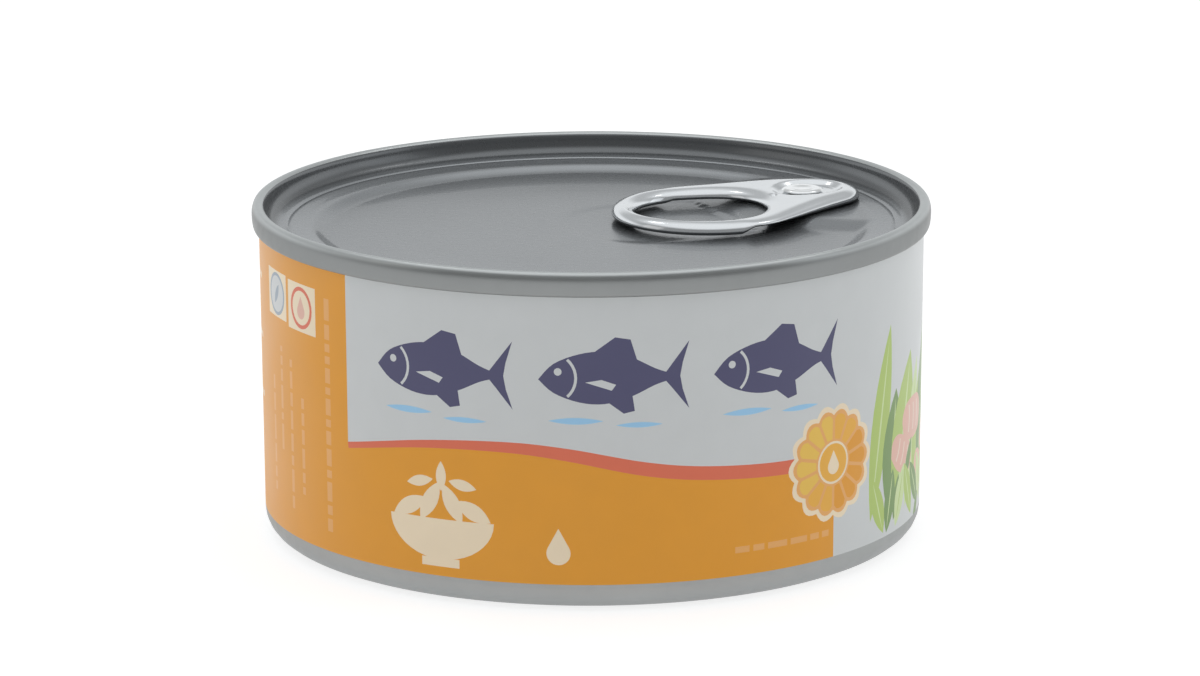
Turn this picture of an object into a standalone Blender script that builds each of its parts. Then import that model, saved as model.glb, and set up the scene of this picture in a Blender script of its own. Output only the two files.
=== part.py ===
# Shut tuna can with a ring-pull end, 307 x 111 trade size.
# The frame's origin is the middle of the base, +Z is up, and the tab's nose points to +X and +Y.
from math import acos, copysign, cos, degrees, radians, sin

import bmesh
import bpy
from mathutils import Matrix

MM = 0.001

# Driving sizes, in millimetres.
CAN_HEIGHT = 42.86
SEAM_RADIUS = 43.65
SEAM_HEIGHT = 2.85
SEAM_THICKNESS = 1.30
WALL_TOP_RADIUS = 42.75
WALL_BASE_RADIUS = 42.50
CORNER_RADIUS = 3.0
COUNTERSINK = 3.0
PANEL_DROP = 1.05
FIT_GAP = 0.30
SIDES = 96

# The end: its wall, flat outer ring, step and sunken panel.
CHUCK_FOOT_RADIUS = 40.45
STEP_OUTER_RADIUS = 36.1
STEP_INNER_RADIUS = 30.9
END_THICKNESS = 1.0
PLUG_RADIUS = 41.1
RIM_Z = CAN_HEIGHT
SEAM_FOOT_Z = CAN_HEIGHT - SEAM_HEIGHT
RING_FLAT_Z = CAN_HEIGHT - COUNTERSINK
PANEL_Z = RING_FLAT_Z - PANEL_DROP

# The end's own mirror plane turns this far from +X. The rivet, well and plateau lie on it.
END_TURN = 24.2

# The finger well, a shallow oval sunk in the panel under the ring.
WELL_DEPTH = 0.35
WELL_HALF_LENGTH = 14.0
WELL_HALF_WIDTH = 12.8
WELL_CENTRE = 10.5
WELL_SLOPE = 0.7
WELL_ROUNDNESS = 2.6

# The plateau, level with the flat ring, that carries the rivet.
PLATEAU_CENTRE = 36.0
PLATEAU_HALF_LENGTH = 7.9
PLATEAU_HALF_WIDTH = 13.0
PLATEAU_SLOPE = 2.4

# The base: a stand ring round a raised panel with one bead.
STAND_OUTER_RADIUS = WALL_BASE_RADIUS - CORNER_RADIUS
STAND_INNER_RADIUS = 37.8
BASE_PANEL_RADIUS = 36.4
BASE_PANEL_RISE = 1.3
BASE_BEAD_RADIUS = 27.0
BASE_BEAD_WIDTH = 3.2
BASE_BEAD_DROP = 0.55

# The tab, drawn with its ring's centre at the origin and its nose along +X.
TAB_TWIST = 2.5
TAB_RING_RADIUS = 12.5
TAB_HOLE_RADIUS = 8.65
TAB_HOLE_SHIFT = -1.1
TAB_NOSE_CENTRE = 15.1
TAB_NOSE_RADIUS = 6.5
TAB_THICKNESS = 1.35
TAB_LIFT = 0.57
TAB_RISE = 0.80
TAB_TOP_RISE_START = 1.0
TAB_TOP_RISE_END = 15.5
HEEL_START = -1.6
HEEL_END = 0.6
TAB_ROUNDING = 0.55
DISH_CENTRE = 14.9
DISH_HALF_LENGTH = 4.6
DISH_HALF_WIDTH = 4.2
DISH_DEPTH = 0.55
UNDERCUT_DEPTH = 0.35

# The rivet holds the tab's web, so it sits in the dish.
RIVET_FROM_MIDDLE = 30.27
RIVET_FROM_RING = 14.0
RIVET_SHANK_RADIUS = 1.5
RIVET_HOLE_RADIUS = RIVET_SHANK_RADIUS + FIT_GAP
RIVET_HEAD_RADIUS = 2.7
RIVET_HEAD_HEIGHT = 0.4
RIVET_BOSS_RADIUS = 3.2
RIVET_BOSS_FOOT = 3.9


def clear_scene():
    for old in list(bpy.data.objects):
        bpy.data.objects.remove(old, do_unlink=True)


def new_collection(name):
    group = bpy.data.collections.new(name)
    bpy.context.scene.collection.children.link(group)
    return group


def metal(name, colour, roughness, metallic=1.0):
    material = bpy.data.materials.new(name)
    material.use_nodes = True
    shader = material.node_tree.nodes["Principled BSDF"]
    shader.inputs["Base Color"].default_value = (*colour, 1.0)
    shader.inputs["Roughness"].default_value = roughness
    shader.inputs["Metallic"].default_value = metallic
    return material


def arc(centre_x, centre_y, radius, start, end, steps):
    """Points on an arc, angles in degrees, both ends included."""
    points = []
    for step in range(steps + 1):
        angle = radians(start + (end - start) * step / steps)
        points.append((centre_x + radius * cos(angle), centre_y + radius * sin(angle)))
    return points


def ease(share):
    """Smooth step from 0 to 1."""
    share = min(max(share, 0.0), 1.0)
    return share * share * (3.0 - 2.0 * share)


def turned(name, profile, group, material):
    """A solid turned about Z from (radius, height) points that run down its outer side."""
    mesh = bpy.data.meshes.new(name)
    points = [(radius * MM, 0.0, height * MM) for radius, height in profile]
    edges = [(index, index + 1) for index in range(len(points) - 1)]
    mesh.from_pydata(points, edges, [])
    solid = bpy.data.objects.new(name, mesh)
    group.objects.link(solid)
    screw = solid.modifiers.new("turn", "SCREW")
    screw.steps = SIDES
    screw.render_steps = SIDES
    screw.use_merge_vertices = True
    screw.merge_threshold = 0.00002
    screw.use_normal_calculate = False
    if material:
        mesh.materials.append(material)
    return solid


def as_mesh(solid, group):
    """Replace an object by its evaluated mesh where it stands, with touching points welded."""
    evaluated = solid.evaluated_get(bpy.context.evaluated_depsgraph_get())
    mesh = bpy.data.meshes.new_from_object(evaluated)
    mesh.transform(solid.matrix_world)
    work = bmesh.new()
    work.from_mesh(mesh)
    bmesh.ops.remove_doubles(work, verts=work.verts, dist=0.00001)
    work.to_mesh(mesh)
    work.free()
    name = solid.name
    bpy.data.objects.remove(solid, do_unlink=True)
    fresh = bpy.data.objects.new(name, mesh)
    group.objects.link(fresh)
    return fresh


def flat_plate(name, outlines, low, high, group):
    """A plate between two heights from closed plan outlines, the first one outermost."""
    drawing = bpy.data.curves.new(name, "CURVE")
    drawing.dimensions = "2D"
    drawing.fill_mode = "BOTH"
    drawing.extrude = (high - low) * MM / 2.0
    for outline in outlines:
        line = drawing.splines.new("POLY")
        line.points.add(len(outline) - 1)
        for point, (x, y) in zip(line.points, outline):
            point.co = (x * MM, y * MM, 0.0, 1.0)
        line.use_cyclic_u = True
    plate = bpy.data.objects.new(name, drawing)
    plate.location = (0.0, 0.0, (low + high) * MM / 2.0)
    group.objects.link(plate)
    bpy.context.view_layer.update()
    return as_mesh(plate, group)


def make_cutter(solid):
    solid.hide_render = True
    solid.display_type = "WIRE"


def cut(target, cutter):
    boolean = target.modifiers.new("cut", "BOOLEAN")
    boolean.operation = "DIFFERENCE"
    boolean.solver = "EXACT"
    boolean.object = cutter


def shade(solid, angle):
    solid.data.shade_smooth()
    solid.data.set_sharp_from_angle(angle=radians(angle))


def base_profile():
    """Radius and height from the wall's corner to the middle of the base."""
    corner = arc(STAND_OUTER_RADIUS, CORNER_RADIUS, CORNER_RADIUS, 0.0, -90.0, 6)
    bead_outer = BASE_BEAD_RADIUS + BASE_BEAD_WIDTH / 2.0
    bead_inner = BASE_BEAD_RADIUS - BASE_BEAD_WIDTH / 2.0
    bead_z = BASE_PANEL_RISE - BASE_BEAD_DROP
    return corner + [
        (STAND_INNER_RADIUS, 0.0),
        (STAND_INNER_RADIUS - 0.5, 0.25),
        (BASE_PANEL_RADIUS, BASE_PANEL_RISE),
        (bead_outer, BASE_PANEL_RISE),
        (bead_outer - 0.8, bead_z),
        (bead_inner + 0.8, bead_z),
        (bead_inner, BASE_PANEL_RISE),
        (0.0, BASE_PANEL_RISE),
    ]


def make_body(group):
    """The drawn body with its contents: solid up to the end's plug, which sits in its mouth."""
    mouth_z = PANEL_Z - END_THICKNESS - FIT_GAP
    mouth_radius = PLUG_RADIUS + FIT_GAP
    lip_z = SEAM_FOOT_Z - FIT_GAP
    profile = [(0.0, mouth_z), (mouth_radius, mouth_z), (mouth_radius, lip_z), (WALL_TOP_RADIUS, lip_z)]
    profile += base_profile()
    finish = metal("printed_wall", (0.62, 0.42, 0.20), 0.42, 0.0)
    body = turned("can_body", profile, group, finish)
    shade(body, 32.0)
    return body


def step_profile():
    """The eased step from the panel up to the flat ring, as (radius, height)."""
    points = []
    steps = 6
    for index in range(steps + 1):
        share = index / steps
        radius = STEP_INNER_RADIUS + (STEP_OUTER_RADIUS - STEP_INNER_RADIUS) * share
        points.append((radius, PANEL_Z + PANEL_DROP * ease(share)))
    return points


def seam_profile():
    """The double seam, from the top of the chuck wall over the rim and down its outer face."""
    inner = SEAM_RADIUS - SEAM_THICKNESS
    return [
        (inner, RIM_Z - 0.75),
        (inner + 0.12, RIM_Z - 0.3),
        (inner + 0.42, RIM_Z - 0.05),
        (inner + 0.68, RIM_Z),
        (SEAM_RADIUS - 0.25, RIM_Z - 0.1),
        (SEAM_RADIUS, RIM_Z - 0.5),
        (SEAM_RADIUS - 0.03, RIM_Z - 1.1),
        (SEAM_RADIUS - 0.2, RIM_Z - 1.9),
        (SEAM_RADIUS - 0.5, RIM_Z - 2.55),
        (SEAM_RADIUS - 0.85, SEAM_FOOT_Z),
    ]


def make_end(group, cutters):
    """The end: sunken panel, flat ring, chuck wall and seam, thickened below to a plug."""
    foot = [
        (CHUCK_FOOT_RADIUS - 0.5, RING_FLAT_Z),
        (CHUCK_FOOT_RADIUS + 0.15, RING_FLAT_Z + 0.2),
        (CHUCK_FOOT_RADIUS + 0.6, RING_FLAT_Z + 0.75),
    ]
    under = [(PLUG_RADIUS, SEAM_FOOT_Z), (PLUG_RADIUS, PANEL_Z - END_THICKNESS), (0.0, PANEL_Z - END_THICKNESS)]
    profile = [(0.0, PANEL_Z)] + step_profile() + foot + seam_profile() + under
    finish = metal("end_metal", (0.62, 0.63, 0.64), 0.3)
    end = turned("can_end", profile, group, finish)
    end = as_mesh(end, group)
    cut(end, make_well_cutter(cutters))
    unite(end, make_plateau(cutters))
    unite(end, make_rivet(cutters))
    bpy.context.view_layer.update()
    end = as_mesh(end, group)
    shade(end, 32.0)
    return end


def end_place(x, z):
    """Where a point on the end's mirror plane lies, from the can's middle, as a matrix."""
    return Matrix.Rotation(radians(END_TURN), 4, "Z") @ Matrix.Translation((x * MM, 0.0, z * MM))


def tab_place():
    """The tab's frame: its ring's centre, found by turning the tab about the rivet."""
    ring = Matrix.Translation((-RIVET_FROM_RING * MM, 0.0, 0.0))
    return end_place(RIVET_FROM_MIDDLE, 0.0) @ Matrix.Rotation(radians(TAB_TWIST), 4, "Z") @ ring


def rounded_oval(half_length, half_width, roundness, steps):
    """A closed superellipse; a roundness of 2 is an ellipse and more is squarer."""
    points = []
    for x, y in arc(0.0, 0.0, 1.0, 0.0, 360.0 * (steps - 1) / steps, steps - 1):
        power = 2.0 / roundness
        across = copysign(abs(y) ** power, y) * half_width
        along = copysign(abs(x) ** power, x) * half_length
        points.append((along, across))
    return points


def sloped_prism(name, low_outline, high_outline, low, high, cutters):
    """A closed solid between two outlines with as many points each, at two heights."""
    work = bmesh.new()
    floor = [work.verts.new((x * MM, y * MM, low * MM)) for x, y in low_outline]
    roof = [work.verts.new((x * MM, y * MM, high * MM)) for x, y in high_outline]
    work.faces.new(reversed(floor))
    work.faces.new(roof)
    count = len(floor)
    for index in range(count):
        after = (index + 1) % count
        work.faces.new((floor[index], floor[after], roof[after], roof[index]))
    mesh = bpy.data.meshes.new(name)
    work.to_mesh(mesh)
    work.free()
    solid = bpy.data.objects.new(name, mesh)
    cutters.objects.link(solid)
    make_cutter(solid)
    return solid


def make_well_cutter(cutters):
    """A flat-bottomed oval with sloped sides, reaching above the panel."""
    reach = 0.5
    spread = WELL_SLOPE * reach / WELL_DEPTH
    floor_length = WELL_HALF_LENGTH - WELL_SLOPE
    floor_width = WELL_HALF_WIDTH - WELL_SLOPE
    low = rounded_oval(floor_length, floor_width, WELL_ROUNDNESS, 48)
    high = rounded_oval(WELL_HALF_LENGTH + spread, WELL_HALF_WIDTH + spread, WELL_ROUNDNESS, 48)
    cutter = sloped_prism("well_cutter", low, high, -WELL_DEPTH, reach, cutters)
    cutter.matrix_world = end_place(WELL_CENTRE, PANEL_Z)
    return cutter


def make_plateau(cutters):
    """Half of a low oval island under the tab's nose, just below the flat ring that it runs into."""
    sink = 0.4
    top = PANEL_DROP - 0.03
    spread = PLATEAU_SLOPE * (top + sink) / top
    low = rounded_oval(PLATEAU_HALF_LENGTH + spread, PLATEAU_HALF_WIDTH + spread, 2.0, 48)
    high = rounded_oval(PLATEAU_HALF_LENGTH, PLATEAU_HALF_WIDTH, 2.0, 48)
    low = [(min(x, 0.0), y) for x, y in low]
    high = [(min(x, 0.0), y) for x, y in high]
    plateau = sloped_prism("plateau", low, high, -sink, top, cutters)
    plateau.matrix_world = end_place(PLATEAU_CENTRE, PANEL_Z)
    return plateau


def unite(target, addition):
    boolean = target.modifiers.new("join", "BOOLEAN")
    boolean.operation = "UNION"
    boolean.solver = "EXACT"
    boolean.object = addition


def tab_bottom(x):
    """The tab's underside: low under the curled ring, and higher from the heel to the nose."""
    return PANEL_Z + TAB_LIFT + TAB_RISE * ease((x - HEEL_START) / (HEEL_END - HEEL_START))


def tab_top(x):
    """The tab's upper side, which rises slowly from the ring to the nose."""
    share = (x - TAB_TOP_RISE_START) / (TAB_TOP_RISE_END - TAB_TOP_RISE_START)
    return PANEL_Z + TAB_LIFT + TAB_THICKNESS + TAB_RISE * ease(share)


def make_rivet(cutters):
    """The rivet: a boss under the tab's web, a shank through it and a head over it."""
    web_low = tab_bottom(RIVET_FROM_RING) + UNDERCUT_DEPTH
    web_high = tab_top(TAB_TOP_RISE_END) - DISH_DEPTH
    head_z = web_high + FIT_GAP
    profile = [
        (0.0, head_z + RIVET_HEAD_HEIGHT - 0.12),
        (RIVET_HEAD_RADIUS * 0.45, head_z + RIVET_HEAD_HEIGHT - 0.1),
        (RIVET_HEAD_RADIUS * 0.75, head_z + RIVET_HEAD_HEIGHT),
        (RIVET_HEAD_RADIUS - 0.05, head_z + RIVET_HEAD_HEIGHT - 0.15),
        (RIVET_HEAD_RADIUS, head_z + 0.12),
        (RIVET_HEAD_RADIUS - 0.15, head_z),
        (RIVET_SHANK_RADIUS, head_z),
        (RIVET_SHANK_RADIUS, web_low - FIT_GAP),
        (RIVET_BOSS_RADIUS, web_low - FIT_GAP),
        (RIVET_BOSS_FOOT, RING_FLAT_Z - 0.05),
        (RIVET_BOSS_FOOT, PANEL_Z - END_THICKNESS / 2.0),
        (0.0, PANEL_Z - END_THICKNESS / 2.0),
    ]
    rivet = turned("rivet", profile, cutters, None)
    rivet.modifiers["turn"].steps = 24
    rivet.modifiers["turn"].render_steps = 24
    rivet.matrix_world = end_place(RIVET_FROM_MIDDLE, 0.0)
    make_cutter(rivet)
    return rivet


def tab_outline():
    """Ring and nose joined by two tangents, as one closed line, counter-clockwise."""
    meet = degrees(acos((TAB_RING_RADIUS - TAB_NOSE_RADIUS) / TAB_NOSE_CENTRE))
    nose = arc(TAB_NOSE_CENTRE, 0.0, TAB_NOSE_RADIUS, -meet, meet, 16)
    ring = arc(0.0, 0.0, TAB_RING_RADIUS, meet, 360.0 - meet, 40)
    return nose + ring


def make_dish_cutters(cutters):
    """Ovals that sink the nose's web from above and hollow it from below."""
    oval = [(DISH_CENTRE + DISH_HALF_LENGTH * x, DISH_HALF_WIDTH * y) for x, y in arc(0, 0, 1.0, 0.0, 345.0, 23)]
    above = flat_plate("dish_cutter", [oval], TAB_THICKNESS - DISH_DEPTH, TAB_THICKNESS + 1.0, cutters)
    below = flat_plate("undercut_cutter", [oval], -1.0, UNDERCUT_DEPTH, cutters)
    hole = arc(RIVET_FROM_RING, 0.0, RIVET_HOLE_RADIUS, 0.0, 345.0, 23)
    through = flat_plate("rivet_hole_cutter", [hole], -2.0, TAB_THICKNESS + 2.0, cutters)
    for cutter in (above, below, through):
        make_cutter(cutter)
    return above, below, through


def slice_across(work, start, end, slices):
    """Cut every face of a mesh along evenly spaced planes between two places on the tab's axis."""
    for index in range(slices + 1):
        x = start + (end - start) * index / slices
        everything = work.verts[:] + work.edges[:] + work.faces[:]
        bmesh.ops.bisect_plane(
            work, geom=everything, dist=0.000002, plane_co=(x * MM, 0.0, 0.0), plane_no=(1.0, 0.0, 0.0),
        )


def raise_nose(tab):
    """Bend the flat tab: its points keep their share of the height between underside and top."""
    work = bmesh.new()
    work.from_mesh(tab.data)
    slice_across(work, HEEL_START, HEEL_END, 3)
    slice_across(work, TAB_TOP_RISE_START + 2.0, TAB_TOP_RISE_END, 5)
    for point in work.verts:
        x = point.co.x / MM
        share = point.co.z / MM / TAB_THICKNESS
        point.co.z = (tab_bottom(x) + (tab_top(x) - tab_bottom(x)) * share) * MM
    work.to_mesh(tab.data)
    work.free()


def make_tab(group, cutters):
    """The ring pull: a rolled band round the finger hole and a riveted nose."""
    hole = arc(TAB_HOLE_SHIFT, 0.0, TAB_HOLE_RADIUS, 0.0, 352.5, 47)
    tab = flat_plate("ring_tab", [tab_outline(), hole], 0.0, TAB_THICKNESS, group)
    rounding = tab.modifiers.new("rolled_edges", "BEVEL")
    rounding.width = TAB_ROUNDING * MM
    rounding.segments = 3
    rounding.limit_method = "ANGLE"
    rounding.angle_limit = radians(50.0)
    for cutter in make_dish_cutters(cutters):
        cut(tab, cutter)
    bpy.context.view_layer.update()
    tab = as_mesh(tab, group)
    raise_nose(tab)
    tab.matrix_world = tab_place()
    tab.data.materials.clear()
    tab.data.materials.append(metal("tab_metal", (0.78, 0.79, 0.80), 0.22))
    shade(tab, 40.0)
    return tab


def main():
    clear_scene()
    parts = new_collection("tuna_can")
    cutters = new_collection("cutters")
    make_body(parts)
    make_end(parts, cutters)
    make_tab(parts, cutters)


main()
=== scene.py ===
# Looks of the tuna can: printed drawn wall, seamed end and ring pull.
import random
from math import acos, atan2, cos, degrees, hypot, pi, radians, sin, sqrt

import bmesh
import bpy
import numpy as np
from mathutils import Matrix, Vector
from mathutils.geometry import delaunay_2d_cdt


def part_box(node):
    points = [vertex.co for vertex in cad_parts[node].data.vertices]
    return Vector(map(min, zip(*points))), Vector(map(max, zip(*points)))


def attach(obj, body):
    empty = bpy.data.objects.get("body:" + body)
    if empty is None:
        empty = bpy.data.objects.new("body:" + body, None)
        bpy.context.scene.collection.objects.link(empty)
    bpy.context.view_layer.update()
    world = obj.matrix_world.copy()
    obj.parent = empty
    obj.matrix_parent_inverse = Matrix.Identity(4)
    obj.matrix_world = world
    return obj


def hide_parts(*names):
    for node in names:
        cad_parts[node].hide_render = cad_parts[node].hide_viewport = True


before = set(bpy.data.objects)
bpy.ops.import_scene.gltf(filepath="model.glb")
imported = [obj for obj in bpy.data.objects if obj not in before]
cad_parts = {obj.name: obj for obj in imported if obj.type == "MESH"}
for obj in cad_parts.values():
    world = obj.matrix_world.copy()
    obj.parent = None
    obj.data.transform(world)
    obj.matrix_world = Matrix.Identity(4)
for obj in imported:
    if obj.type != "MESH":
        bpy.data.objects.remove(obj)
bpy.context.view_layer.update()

MM = 0.001
END_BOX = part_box("can_end")
BODY_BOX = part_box("can_body")

# Driving sizes in millimetres. Those of the can as a whole are read from the frame.
CAN_HEIGHT = END_BOX[1].z / MM
SEAM_RADIUS = END_BOX[1].x / MM
WALL_TOP_RADIUS = BODY_BOX[1].x / MM
WALL_TAPER = 0.25
WALL_BASE_RADIUS = WALL_TOP_RADIUS - WALL_TAPER
CORNER_RADIUS = 3.0
SEAM_HEIGHT = 3.1
SEAM_FOOT_Z = CAN_HEIGHT - SEAM_HEIGHT
SEAM_THICKNESS = 1.3
RING_DEPTH = 3.0
RING_FLAT_Z = CAN_HEIGHT - RING_DEPTH
PANEL_STEP = 1.05
PANEL_Z = RING_FLAT_Z - PANEL_STEP
CHUCK_FOOT_RADIUS = 40.45
END_UNDER_Z = END_BOX[0].z / MM
PLUG_RADIUS = 41.1
FIT_GAP = 0.3
# A flat is closed in its middle from a ring of this radius.
LAST_RING_RADIUS = 20.0

# The end's mirror plane turns this far from +X, in degrees.
END_TURN = 24.2

# Points of a flat pattern that lie nearer than this are joined.
JOIN_DISTANCE = 0.0005


def arc(centre_x, centre_y, radius, start, end, steps):
    """Points on an arc, angles in degrees, both ends included."""
    points = []
    for step in range(steps + 1):
        angle = radians(start + (end - start) * step / steps)
        points.append((centre_x + radius * cos(angle), centre_y + radius * sin(angle)))
    return points


def circle(centre_x, centre_y, radius, count):
    """A closed round outline with this many points."""
    return arc(centre_x, centre_y, radius, 0.0, 360.0 * (count - 1) / count, count - 1)


def ease(share):
    """Smooth step from 0 to 1."""
    share = min(max(share, 0.0), 1.0)
    return share * share * (3.0 - 2.0 * share)


def smooth_line(points, steps):
    """A curve through every given point, with this many pieces between two of them."""
    padded = [points[0]] + list(points) + [points[-1]]
    line = []
    for before, start, end, after in zip(padded, padded[1:], padded[2:], padded[3:]):
        for step in range(steps):
            t = step / steps
            point = []
            for a, b, c, d in zip(before, start, end, after):
                bend = 2.0 * a - 5.0 * b + 4.0 * c - d
                twist = 3.0 * b - a - 3.0 * c + d
                point.append(0.5 * (2.0 * b + (c - a) * t + bend * t * t + twist * t * t * t))
            line.append(tuple(point))
    line.append(tuple(points[-1]))
    return line


def between(start, end, pieces):
    """Points that split a straight run, without its ends."""
    run, rise = end[0] - start[0], end[1] - start[1]
    shares = [index / pieces for index in range(1, pieces)]
    return [(start[0] + run * share, start[1] + rise * share) for share in shares]


def loop_edges(first, count):
    """The edges of a closed line whose points follow one another in a list."""
    return [(first + index, first + (index + 1) % count) for index in range(count)]


def triangles_of(points, edges):
    """A flat pattern's points and its triangles, split along every edge."""
    made = delaunay_2d_cdt([Vector(point) for point in points], edges, [], 0, JOIN_DISTANCE)
    return [tuple(point) for point in made[0]], made[2]


def finished_mesh(work, name, materials, sharp_angle):
    """A named mesh with its materials, sharp where it bends by more than an angle in degrees."""
    mesh = bpy.data.meshes.new(name)
    work.to_mesh(mesh)
    work.free()
    for material in materials:
        mesh.materials.append(material)
    mesh.set_sharp_from_angle(angle=radians(sharp_angle))
    return mesh


def new_object(name, data):
    """An object in the scene for a mesh, a light or a camera."""
    made = bpy.data.objects.new(name, data)
    bpy.context.scene.collection.objects.link(made)
    return made


def new_piece(name, mesh, replaced=None):
    """Link a finished mesh as a piece of the can."""
    piece = new_object(name, mesh)
    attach(piece, "root")
    if replaced:
        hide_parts(replaced)


# Materials.

# Noise seldom leaves this range.
NOISE_LOW = 0.3
NOISE_HIGH = 0.7
EVEN_GRAIN = (1.0, 1.0, 1.0)
ROLLED_GRAIN = (1.0, 5.0, 1.0)


def add_node(tree, kind, inputs, output, **settings):
    """Add a node and give one of its outputs. Each input takes a value or another node's output."""
    node = tree.nodes.new("ShaderNode" + kind)
    for name, value in settings.items():
        setattr(node, name, value)
    for name, value in inputs.items():
        if isinstance(value, bpy.types.NodeSocket):
            tree.links.new(value, node.inputs[name])
        else:
            node.inputs[name].default_value = value
    return node.outputs[output]


def new_material(name):
    """A new material, its node tree and its shader."""
    material = bpy.data.materials.new(name)
    material.use_nodes = True
    return material, material.node_tree, material.node_tree.nodes["Principled BSDF"]


def noise_at(tree, scale, stretch=EVEN_GRAIN, detail=3.0):
    """Noise in the object's own space, finer along an axis where stretch is larger."""
    place = add_node(tree, "TexCoord", {}, "Object")
    place = add_node(tree, "Mapping", {"Vector": place, "Scale": stretch}, "Vector")
    return add_node(tree, "TexNoise", {"Vector": place, "Scale": scale, "Detail": detail}, "Fac")


def mapped(tree, value, start, end, low, high, curve="SMOOTHSTEP"):
    """A value that turns from low to high between two places."""
    inputs = {"Value": value, "From Min": start, "From Max": end, "To Min": low, "To Max": high}
    return add_node(tree, "MapRange", inputs, "Result", interpolation_type=curve)


def spread(tree, noise, low, high):
    """Noise mapped evenly between two numbers."""
    return mapped(tree, noise, NOISE_LOW, NOISE_HIGH, low, high, "LINEAR")


def tinted(tree, noise, colour, change):
    """The colour made a little darker and lighter by noise."""
    dark = (*[part * (1.0 - change) for part in colour], 1.0)
    pale = (*[min(part * (1.0 + change), 1.0) for part in colour], 1.0)
    return add_node(tree, "Mix", {"Factor": noise, "A": dark, "B": pale}, "Result", data_type="RGBA")


def scaled_colour(tree, colour, share):
    """A colour times a share that changes from place to place."""
    return add_node(tree, "VectorMath", {0: colour, "Scale": share}, "Vector", operation="SCALE")


def set_relief(tree, shader, height, depth):
    """Bump from a height value, its depth in metres."""
    normal = add_node(tree, "Bump", {"Strength": 1.0, "Distance": depth, "Height": height}, "Normal")
    tree.links.new(normal, shader.inputs["Normal"])


# The rest of a metal's colour is the lacquer's own, scattered like paint.
METAL_SHARE = 0.82
COAT_ROUGHNESS = 0.06
CLOUD_SCALE = 90.0
CLOUD_CHANGE = 0.05
STREAK_SCALE = 700.0
WAVE_SCALE = 110.0
# How deep the soft unevenness of a sheet is, in metres.
FAINT_WAVE = 0.0000006
WALL_WAVE = 0.000002
PANEL_WAVE = 0.000006
FORMED_WAVE = 0.00002
# Painted light on the end: how much lighter the flat outer ring and how much darker the chuck wall (painted
# shade) are painted than the panel.
RING_PAINTED_LIGHT = 1.15
RING_SHADE_INNER = 35.2
RING_SHADE_OUTER = 36.6
CHUCK_PAINTED_SHADE = 0.42
CHUCK_SHADE_INNER = 39.9
CHUCK_SHADE_OUTER = 41.0
# The seam's crown carries a painted highlight from the first height up to the second.
CROWN_PAINTED_HIGHLIGHT = 2.4
CROWN_SHINE_LOW = 42.0
CROWN_SHINE_HIGH = 42.9


def painted_light_outwards(tree, colour):
    """The end's colour with painted light: lighter on the outer ring, and darker up the chuck wall as painted
    shade.
    """
    place = add_node(tree, "TexCoord", {}, "Object")
    flat = add_node(tree, "VectorMath", {0: place, 1: (1.0, 1.0, 0.0)}, "Vector", operation="MULTIPLY")
    reach = add_node(tree, "VectorMath", {0: flat}, "Value", operation="LENGTH")
    ring = mapped(tree, reach, RING_SHADE_INNER * MM, RING_SHADE_OUTER * MM, 1.0, RING_PAINTED_LIGHT)
    wall = mapped(tree, reach, CHUCK_SHADE_INNER * MM, CHUCK_SHADE_OUTER * MM, 1.0, CHUCK_PAINTED_SHADE)
    both = add_node(tree, "Math", {0: ring, 1: wall}, "Value", operation="MULTIPLY")
    return scaled_colour(tree, colour, both)


def painted_highlight_upwards(tree, colour):
    """The seam's colour with a painted highlight on its crown."""
    place = add_node(tree, "TexCoord", {}, "Object")
    height = add_node(tree, "SeparateXYZ", {"Vector": place}, "Z")
    shine = mapped(tree, height, CROWN_SHINE_LOW * MM, CROWN_SHINE_HIGH * MM, 1.0, CROWN_PAINTED_HIGHLIGHT)
    return scaled_colour(tree, colour, shine)


def sheet_metal(name, colour, smooth, rough, edge, wave=FAINT_WAVE, grain=EVEN_GRAIN, shade=None, coat=0.0):
    """Sheet under a thin lacquer, its roughness between smooth and rough, a little uneven.

    Edge is how much shine is left at a slant. Shade, where given, paints light and shade into the colour from
    place to place.
    """
    material, tree, shader = new_material(name)
    colouring = tinted(tree, noise_at(tree, CLOUD_SCALE), colour, CLOUD_CHANGE)
    if shade:
        colouring = shade(tree, colouring)
    streaks = noise_at(tree, STREAK_SCALE, grain)
    tree.links.new(colouring, shader.inputs["Base Color"])
    tree.links.new(spread(tree, streaks, smooth, rough), shader.inputs["Roughness"])
    shader.inputs["Metallic"].default_value = METAL_SHARE
    shader.inputs["Specular Tint"].default_value = (edge, edge, edge, 1.0)
    shader.inputs["Coat Weight"].default_value = coat
    shader.inputs["Coat Roughness"].default_value = COAT_ROUGHNESS
    set_relief(tree, shader, noise_at(tree, WAVE_SCALE, grain), wave)
    return material


def end_metal():
    """Satin sheet with a rolling grain, with painted light: lighter on the outer ring, painted shade up the
    chuck wall.
    """
    grey = (0.37, 0.385, 0.4)
    return sheet_metal("lacquered_end", grey, 0.26, 0.3, 0.6, PANEL_WAVE, ROLLED_GRAIN, painted_light_outwards, 0.25)


def seam_metal():
    """Satin sheet painted darker than the end as painted shade, which cuts the floor's reflection, with a
    painted highlight on its crown.
    """
    grey = (0.265, 0.275, 0.275)
    return sheet_metal("lacquered_seam", grey, 0.3, 0.36, 0.7, WALL_WAVE, shade=painted_highlight_upwards)


def wall_metal():
    """The body's bare sheet below the print."""
    return sheet_metal("bare_wall", (0.36, 0.37, 0.37), 0.34, 0.42, 0.8, WALL_WAVE)


def tab_metal():
    """Bright formed sheet."""
    return sheet_metal("bright_tab", (0.84, 0.86, 0.88), 0.11, 0.15, 0.85, FORMED_WAVE)


def painted_shade_under_tab_metal():
    """Dark metal under the tab: painted shade for the hollow beneath it."""
    return sheet_metal("tab_underside", (0.16, 0.165, 0.17), 0.4, 0.5, 0.5)


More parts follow.
